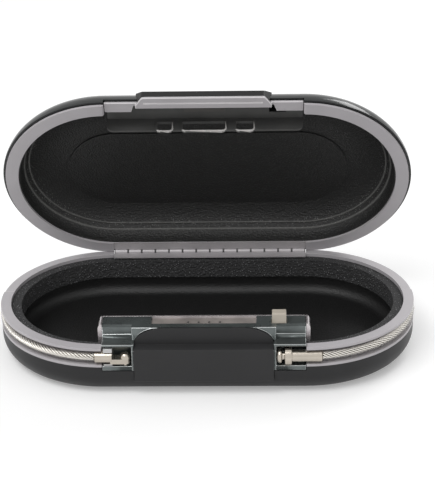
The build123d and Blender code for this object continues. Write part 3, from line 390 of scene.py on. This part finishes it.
# The strike plate is pressed from steel and blackened after its slots were cut.
# The lower and right-hand sides of the lips round their slots are painted bright, a painted highlight where
# light falls.
plate_dark = finish("plate_dark", (0.085, 0.085, 0.083), 0.45, 0.55, grain=500, bump=0.12, vary=0.15,
                    specular=0.3)
slot_highlight = finish("slot_highlight", (0.8, 0.78, 0.76), 0.2, 0.3, metallic=0.35, grain=700, bump=0.05)
OPEN_ANGLE = math.radians(66.3)
close_lid = Matrix.Rotation(OPEN_ANGLE, 4, "X")
HINGE = Vector((0, 63.0, 29.65))
PLATE_FRONT = -104.65
SLOT_RIGHTS = (-19.2, 12.0, 28.5)
LIP_BACK = 0.1
LIP_W = 1.0
LOWER_LIP_TOP = 2.3
SIDE_LIP_TOP = 7.0


def lit_lip_sides(face):
    """1 on the lower and right-hand parts of the raised lips round the slots, which take a painted highlight,
    else 0.
    """
    spot = close_lid @ (face.calc_center_median() / MM - HINGE)
    beside = any(edge - LIP_BACK < spot.x < edge + LIP_W for edge in SLOT_RIGHTS)
    low = spot.z < LOWER_LIP_TOP or beside and spot.z < SIDE_LIP_TOP
    return 1 if spot.y < PLATE_FRONT and low else 0


eased("strike_plate", [plate_dark, slot_highlight], 0.15, paint=lit_lip_sides)


# The small parts of zinc-plated steel are the screws, bolt bar, plunger, latch, clip, spring, charge
# port and solenoid frame. The ferrule, its rivet and the plug are turned and nickel-plated, which is
# a warmer grey.
plated_steel = finish("plated_steel", (0.5, 0.5, 0.5), 0.25, 0.4, metallic=0.85, grain=800, bump=0.08)
warm_nickel = finish("warm_nickel", (0.5, 0.455, 0.395), 0.14, 0.26, metallic=0.93, grain=700, bump=0.08)
dress(plated_steel, "cover_screws", "solenoid_frame", "solenoid_plunger", "bolt_bar", "latch_blade",
      "charge_port")
eased("anchor_clip", [plated_steel], 0.15)
eased("anchor_ferrule", [warm_nickel], 0.4, 3)
eased("cable_plug", [warm_nickel], 0.4, 3)
dress(warm_nickel, "anchor_rivet")


# The cable: seven bright strands laid round a core, under a clear sheath. It follows the channel,
# two half rounds and the straight run behind the case, from the plug on the right to the ferrule.
CABLE_Z = 23.5
TURN_R = 62.8
HALF_RUN = 57.5
PLUG_X = 66.5
ANCHOR_X = 61.4
STRANDS = 7
LAY = 17.0
STRAND_R = 0.52
STRAND_RING = 1.64
STRAND_SIDES = 7
CORE_R = 1.25
CORE_SIDES = 10
SHEATH_R = 2.7
SHEATH_SIDES = 24
STEP = 1.1
right_skip = math.asin((PLUG_X - HALF_RUN) / TURN_R)
left_skip = math.asin((ANCHOR_X - HALF_RUN) / TURN_R)
cable_length = (2 * math.pi - right_skip - left_skip) * TURN_R + 2 * HALF_RUN


def route_frame(along):
    """Point on the channel's path, its direction and its outward side, for a distance from the plug."""
    first = (math.pi - right_skip) * TURN_R
    if along < first:
        angle = right_skip - math.pi / 2 + along / TURN_R
        out = Vector((math.cos(angle), math.sin(angle), 0))
        return Vector((HALF_RUN, 0, CABLE_Z)) + out * TURN_R, Vector((-out.y, out.x, 0)), out
    along -= first
    if along < 2 * HALF_RUN:
        return Vector((HALF_RUN - along, TURN_R, CABLE_Z)), Vector((-1, 0, 0)), Vector((0, 1, 0))
    angle = math.pi / 2 + (along - 2 * HALF_RUN) / TURN_R
    out = Vector((math.cos(angle), math.sin(angle), 0))
    return Vector((-HALF_RUN, 0, CABLE_Z)) + out * TURN_R, Vector((-out.y, out.x, 0)), out


def tube(shape, length, offset, radius, sides, phase=0.0, twist=0.0):
    """A tube along the route, at an offset that turns with the distance."""
    count = round(length / STEP)
    rings = []
    centres = []
    for i in range(count + 1):
        along = length * i / count
        point, ahead, out = route_frame(along)
        angle = phase + twist * along
        swing = out * math.cos(angle) + Vector((0, 0, 1)) * math.sin(angle)
        centres.append((point + swing * offset, ahead, out))
    for i, (centre, ahead, out) in enumerate(centres):
        before = centres[max(i - 1, 0)][0]
        after = centres[min(i + 1, count)][0]
        tangent = (after - before).normalized()
        side = (out - tangent * out.dot(tangent)).normalized()
        rise = tangent.cross(side)
        rings.append([shape.verts.new((centre + (side * math.cos(a) + rise * math.sin(a)) * radius) * MM)
                      for a in (2 * math.pi * k / sides for k in range(sides))])
    for ring, following in zip(rings, rings[1:]):
        for k in range(sides):
            m = (k + 1) % sides
            shape.faces.new((ring[k], following[k], following[m], ring[m]))
    shape.faces.new(rings[0])
    shape.faces.new(rings[-1][::-1])


def mesh_piece(name, build, material):
    shape = bmesh.new()
    build(shape)
    bmesh.ops.recalc_face_normals(shape, faces=shape.faces)
    mesh = bpy.data.meshes.new(name)
    shape.to_mesh(mesh)
    shape.free()
    mesh.materials.append(material)
    for face in mesh.polygons:
        face.use_smooth = True
    piece = bpy.data.objects.new(name, mesh)
    bpy.context.scene.collection.objects.link(piece)
    return piece


def lay_strands(shape):
    for i in range(STRANDS):
        phase = 2 * math.pi * i / STRANDS
        tube(shape, cable_length, STRAND_RING, STRAND_R, STRAND_SIDES, phase, -2 * math.pi / LAY)


def lay_core(shape):
    tube(shape, cable_length, 0.0, CORE_R, CORE_SIDES)


def lay_sheath(shape):
    tube(shape, cable_length, 0.0, SHEATH_R, SHEATH_SIDES)


strand_steel = finish("strand_steel", (0.8, 0.77, 0.72), 0.22, 0.32, metallic=0.9, grain=700, bump=0.05)
core_dark = finish("core_dark", (0.02, 0.019, 0.018), 0.5, 0.6)
place(mesh_piece("cable_strands", lay_strands, strand_steel), "security_cable")
place(mesh_piece("cable_core", lay_core, core_dark), "security_cable")


def clear_sheath():
    """Clear vinyl: its own colour shows little, and its edges and highlights more."""
    material = bpy.data.materials.new("clear_sheath")
    tree = node_tree(material)
    skin = add(tree, "ShaderNodeBsdfPrincipled", Roughness=0.12)
    skin.inputs["Base Color"].default_value = (0.62, 0.6, 0.57, 1)
    edge = add(tree, "ShaderNodeLayerWeight", Blend=0.35)
    amount = add(tree, "ShaderNodeMapRange")
    amount.inputs["To Min"].default_value = 0.03
    amount.inputs["To Max"].default_value = 0.5
    tree.links.new(edge.outputs["Facing"], amount.inputs["Value"])
    tree.links.new(amount.outputs["Result"], skin.inputs["Alpha"])
    surface = add(tree, "ShaderNodeOutputMaterial")
    tree.links.new(skin.outputs[0], surface.inputs["Surface"])
    return material


place(mesh_piece("cable_sheath", lay_sheath, clear_sheath()), "security_cable")


# The piano hinge is rolled from steel strip and painted with the rims. Its pin and its flush rivets have
# the same finish. The edges of its leaves and knuckles, and the barrel beside its knuckle gaps, are
# painted dark as painted shade.
hinge_steel = finish("hinge_steel", (0.5, 0.48, 0.49), 0.34, 0.44, metallic=0.3, grain=900, bump=0.08)
# A near-black finish for the hinge's rounded edges: painted shade at its knuckle gaps and leaf edges.
hinge_edge_shade = finish("hinge_edge_shade", (0.06, 0.058, 0.058), 0.5, 0.6, grain=900, bump=0.08)
HINGE_LEN = 120.0
KNUCKLES = 14
KNUCKLE_PITCH = HINGE_LEN / KNUCKLES
# Painted shade beside the knuckle gaps: full out to the first distance from a gap's middle, gone at the
# second.
GAP_SHADE_FULL = 0.35
GAP_SHADE_END = 0.75
BARREL_REACH = 1.9
GAP_SHADE = (0.03, 0.029, 0.029, 1)


def shade_knuckle_gaps(material):
    """Painted shade on the barrel beside the 0.3 mm gaps between its knuckles.

    It is full out to GAP_SHADE_FULL from the middle of a gap and gone at GAP_SHADE_END. A mix of colours
    takes its factor at input 0 and its colours at 6 and 7, and gives the result at output 2.
    """
    tree = material.node_tree
    skin = next(node for node in tree.nodes if node.type == "BSDF_PRINCIPLED")
    where = add(tree, "ShaderNodeTexCoord")
    parts = add(tree, "ShaderNodeSeparateXYZ")
    tree.links.new(where.outputs["Object"], parts.inputs["Vector"])
    reach = add(tree, "ShaderNodeMath", operation="PINGPONG")
    reach.inputs[1].default_value = KNUCKLE_PITCH / 2 * MM
    tree.links.new(parts.outputs["X"], reach.inputs[0])
    near = add(tree, "ShaderNodeMapRange")
    near.inputs["From Min"].default_value = GAP_SHADE_FULL * MM
    near.inputs["From Max"].default_value = GAP_SHADE_END * MM
    near.inputs["To Min"].default_value = 1.0
    near.inputs["To Max"].default_value = 0.0
    tree.links.new(reach.outputs[0], near.inputs["Value"])
    off_axis = add(tree, "ShaderNodeVectorMath", operation="SUBTRACT")
    off_axis.inputs[1].default_value = HINGE * MM
    tree.links.new(where.outputs["Object"], off_axis.inputs[0])
    across = add(tree, "ShaderNodeVectorMath", operation="MULTIPLY")
    across.inputs[1].default_value = (0, 1, 1)
    tree.links.new(off_axis.outputs[0], across.inputs[0])
    radius = add(tree, "ShaderNodeVectorMath", operation="LENGTH")
    tree.links.new(across.outputs[0], radius.inputs[0])
    on_barrel = add(tree, "ShaderNodeMath", operation="LESS_THAN")
    on_barrel.inputs[1].default_value = BARREL_REACH * MM
    tree.links.new(radius.outputs["Value"], on_barrel.inputs[0])
    shaded = add(tree, "ShaderNodeMath", operation="MULTIPLY")
    tree.links.new(near.outputs["Result"], shaded.inputs[0])
    tree.links.new(on_barrel.outputs[0], shaded.inputs[1])
    clean = skin.inputs["Base Color"].links[0].from_socket
    mixed = add(tree, "ShaderNodeMix", data_type="RGBA")
    mixed.inputs[7].default_value = GAP_SHADE
    tree.links.new(shaded.outputs[0], mixed.inputs[0])
    tree.links.new(clean, mixed.inputs[6])
    tree.links.new(mixed.outputs[2], skin.inputs["Base Color"])


shade_knuckle_gaps(hinge_steel)
eased("hinge_base_leaf", [hinge_steel, hinge_edge_shade], 0.28, edge=1)
eased("hinge_lid_leaf", [hinge_steel, hinge_edge_shade], 0.28, edge=1)
dress(hinge_steel, "hinge_base_rivets", "hinge_lid_rivets", "hinge_pin")


# The release button is moulded in ivory nylon with rounded edges, a little glossy on its top.
# It stands on a coil spring of plated wire, with a mesh of its own.
ivory = finish("ivory", (0.5, 0.45, 0.38), 0.3, 0.42, grain=900, bump=0.05, vary=0.05)
eased("cable_release_button", [ivory], 0.6, 3)
WIRE_WELD = 0.001


def wound_wire(shape):
    shape.from_mesh(nodes["release_spring"].data)
    bmesh.ops.remove_doubles(shape, verts=shape.verts, dist=WIRE_WELD * MM)


spring = place(mesh_piece("release_coil", wound_wire, plated_steel), "release_spring")
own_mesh(spring)


# The liners are pebbled black vinyl, formed to the case: a low gloss on the pebbles' tips.
# The band under the base's rim is coarse speckled foam. Two fine moulded lines
# run round the edge of the lid's liner. Those lines, and the pebbles' tips in a band near its edge, are
# painted bright as painted highlights and glints. The vinyls' tips are painted lighter, a painted sheen.
def make_pebbles():
    """Rounded pebbles, as a height, and a mask of their tips, which the liners paint lighter."""
    tree, given, result = group("pebbles",
                                [("Scale", "NodeSocketFloat", 900)],
                                [("Height", "NodeSocketFloat"), ("Tips", "NodeSocketFloat")])
    where = add(tree, "ShaderNodeTexCoord")
    cells = add(tree, "ShaderNodeTexVoronoi", feature="SMOOTH_F1", Smoothness=0.4)
    tree.links.new(where.outputs["Object"], cells.inputs["Vector"])
    tree.links.new(given.outputs["Scale"], cells.inputs["Scale"])
    flip = add(tree, "ShaderNodeMath", operation="SUBTRACT")
    flip.inputs[0].default_value = 1.0
    tree.links.new(cells.outputs["Distance"], flip.inputs[1])
    tips = add(tree, "ShaderNodeMapRange")
    tips.inputs["From Min"].default_value = 0.8
    tips.inputs["From Max"].default_value = 0.98
    tree.links.new(flip.outputs[0], tips.inputs["Value"])
    tree.links.new(flip.outputs[0], result.inputs["Height"])
    tree.links.new(tips.outputs["Result"], result.inputs["Tips"])
    return tree


pebble_group = make_pebbles()
# Painted highlight along the lid liner's moulded lines, and a band of painted glints on its pebbles' tips.
LINE_RADII = (53.0, 50.4)
RING_W = 0.7
RING_H = 1.5
RING_SHINE = 0.18
BAND_R = 50.5
BAND_W = 5.5
FIELD_SHINE = 0.12


def ring_lines(tree, radii, width):
    """A height for fine moulded lines that follow the lid's outline at these radii of its round ends."""
    where = add(tree, "ShaderNodeTexCoord")
    closed = add(tree, "ShaderNodeMapping")
    closed.inputs["Rotation"].default_value = (OPEN_ANGLE, 0, 0)
    closed.inputs["Location"].default_value = -(close_lid @ HINGE) * MM
    tree.links.new(where.outputs["Object"], closed.inputs["Vector"])
    parts = add(tree, "ShaderNodeSeparateXYZ")
    tree.links.new(closed.outputs["Vector"], parts.inputs["Vector"])
    side = add(tree, "ShaderNodeMath", operation="ABSOLUTE")
    tree.links.new(parts.outputs["X"], side.inputs[0])
    past = add(tree, "ShaderNodeMath", operation="SUBTRACT")
    past.inputs[1].default_value = HALF_RUN * MM
    tree.links.new(side.outputs[0], past.inputs[0])
    ends = add(tree, "ShaderNodeMath", operation="MAXIMUM")
    ends.inputs[1].default_value = 0.0
    tree.links.new(past.outputs[0], ends.inputs[0])
    across = add(tree, "ShaderNodeMath", operation="ADD")
    across.inputs[1].default_value = HINGE.y * MM
    tree.links.new(parts.outputs["Y"], across.inputs[0])
    flat = add(tree, "ShaderNodeCombineXYZ")
    tree.links.new(ends.outputs[0], flat.inputs["X"])
    tree.links.new(across.outputs[0], flat.inputs["Y"])
    radius = add(tree, "ShaderNodeVectorMath", operation="LENGTH")
    tree.links.new(flat.outputs[0], radius.inputs[0])
    height = None
    for line in radii:
        off = add(tree, "ShaderNodeMath", operation="SUBTRACT")
        off.inputs[1].default_value = line * MM
        tree.links.new(radius.outputs["Value"], off.inputs[0])
        gap = add(tree, "ShaderNodeMath", operation="ABSOLUTE")
        tree.links.new(off.outputs[0], gap.inputs[0])
        crest = add(tree, "ShaderNodeMapRange", interpolation_type="SMOOTHSTEP")
        crest.inputs["From Max"].default_value = width * MM
        crest.inputs["To Min"].default_value = 1.0
        crest.inputs["To Max"].default_value = 0.0
        tree.links.new(gap.outputs[0], crest.inputs["Value"])
        if height is None:
            height = crest.outputs["Result"]
        else:
            total = add(tree, "ShaderNodeMath", operation="MAXIMUM")
            tree.links.new(height, total.inputs[0])
            tree.links.new(crest.outputs["Result"], total.inputs[1])
            height = total.outputs[0]
    return height


def pebbled(name, dark, light, low, high, scale, strength, depth, rings=()):
    """Pebbles with glossier, lighter-painted tips. rings adds moulded lines with a painted highlight and
    keeps the glints to a band.
    """
    material = bpy.data.materials.new(name)
    tree = node_tree(material)
    skin = tree.nodes.new("ShaderNodeBsdfPrincipled")
    texture = tree.nodes.new("ShaderNodeGroup")
    texture.node_tree = pebble_group
    texture.inputs["Scale"].default_value = scale
    raised = add(tree, "ShaderNodeBump", Strength=strength, Distance=depth)
    height = texture.outputs["Height"]
    sheen_and_specks = texture.outputs["Tips"]
    if rings:
        lines = ring_lines(tree, rings, RING_W)
        stack = add(tree, "ShaderNodeMath", operation="MULTIPLY_ADD")
        stack.inputs[1].default_value = RING_H
        tree.links.new(lines, stack.inputs[0])
        tree.links.new(height, stack.inputs[2])
        height = stack.outputs[0]
        band = add(tree, "ShaderNodeMath", operation="MULTIPLY_ADD")
        band.inputs[1].default_value = 1 - FIELD_SHINE
        band.inputs[2].default_value = FIELD_SHINE
        tree.links.new(ring_lines(tree, (BAND_R,), BAND_W), band.inputs[0])
        sparkle = add(tree, "ShaderNodeMath", operation="MULTIPLY")
        tree.links.new(sheen_and_specks, sparkle.inputs[0])
        tree.links.new(band.outputs[0], sparkle.inputs[1])
        shine = add(tree, "ShaderNodeMath", operation="MULTIPLY_ADD")
        shine.inputs[1].default_value = RING_SHINE
        tree.links.new(lines, shine.inputs[0])
        tree.links.new(sparkle.outputs[0], shine.inputs[2])
        sheen_and_specks = shine.outputs[0]
    tree.links.new(height, raised.inputs["Height"])
    tree.links.new(raised.outputs["Normal"], skin.inputs["Normal"])
    colour = add(tree, "ShaderNodeValToRGB")
    colour.color_ramp.elements[0].color = (*dark, 1)
    colour.color_ramp.elements[1].color = (*light, 1)
    tree.links.new(sheen_and_specks, colour.inputs["Fac"])
    tree.links.new(colour.outputs["Color"], skin.inputs["Base Color"])
    gloss = add(tree, "ShaderNodeMapRange")
    gloss.inputs["To Min"].default_value = high
    gloss.inputs["To Max"].default_value = low
    tree.links.new(texture.outputs["Tips"], gloss.inputs["Value"])
    tree.links.new(gloss.outputs["Result"], skin.inputs["Roughness"])
    surface = add(tree, "ShaderNodeOutputMaterial")
    tree.links.new(skin.outputs[0], surface.inputs["Surface"])
    return material


# The vinyls' lighter pebble tips are a painted sheen, near white on the lid's as painted glints; the foam's
# are its grey specks.
liner_black = pebbled("liner_black", (0.006, 0.006, 0.006), (0.045, 0.045, 0.043), 0.2, 0.5, 1100, 0.5,
                      0.0004)
lid_vinyl = pebbled("lid_vinyl", (0.015, 0.015, 0.0145), (0.8, 0.8, 0.77), 0.2, 0.5, 1000, 0.8, 0.0005,
                    rings=LINE_RADII)
foam_grey = pebbled("foam_grey", (0.035, 0.035, 0.036), (0.7, 0.7, 0.72), 0.6, 0.9, 800, 1.0, 0.001)
dress(liner_black, "base_liner")
dress(lid_vinyl, "lid_liner")
dress(foam_grey, "base_liner_ring", "cell_pad")


# The coil, boards and cell are out of sight inside, and the contacts are small and dull.
# The fingerprint reader is set in the lid's crown, with its light beside the sensor.
coil_copper = finish("coil_copper", (0.55, 0.22, 0.1), 0.3, 0.4, metallic=0.8)
board_green = finish("board_green", (0.02, 0.12, 0.05), 0.3, 0.45)
inner_black = finish("inner_black", (0.02, 0.02, 0.02), 0.45, 0.55)
cell_wrap = finish("cell_wrap", (0.1, 0.14, 0.26), 0.3, 0.4)
contact_nickel = finish("contact_nickel", (0.12, 0.115, 0.11), 0.45, 0.55, metallic=0.6)
bezel_black = finish("bezel_black", (0.035, 0.035, 0.038), 0.28, 0.36)
sensor_black = finish("sensor_black", (0.01, 0.01, 0.012), 0.08, 0.14)
led_clear = finish("led_clear", (0.08, 0.35, 0.14), 0.1, 0.18)
dress(coil_copper, "solenoid_coil")
dress(board_green, "control_board", "reader_board")
dress(inner_black, "board_standoffs", "contact_block")
dress(cell_wrap, "battery_cell")
dress(contact_nickel, "contact_pins", "lid_contacts")
dress(bezel_black, "reader_bezel")
dress(sensor_black, "reader_sensor")
dress(led_clear, "status_led")
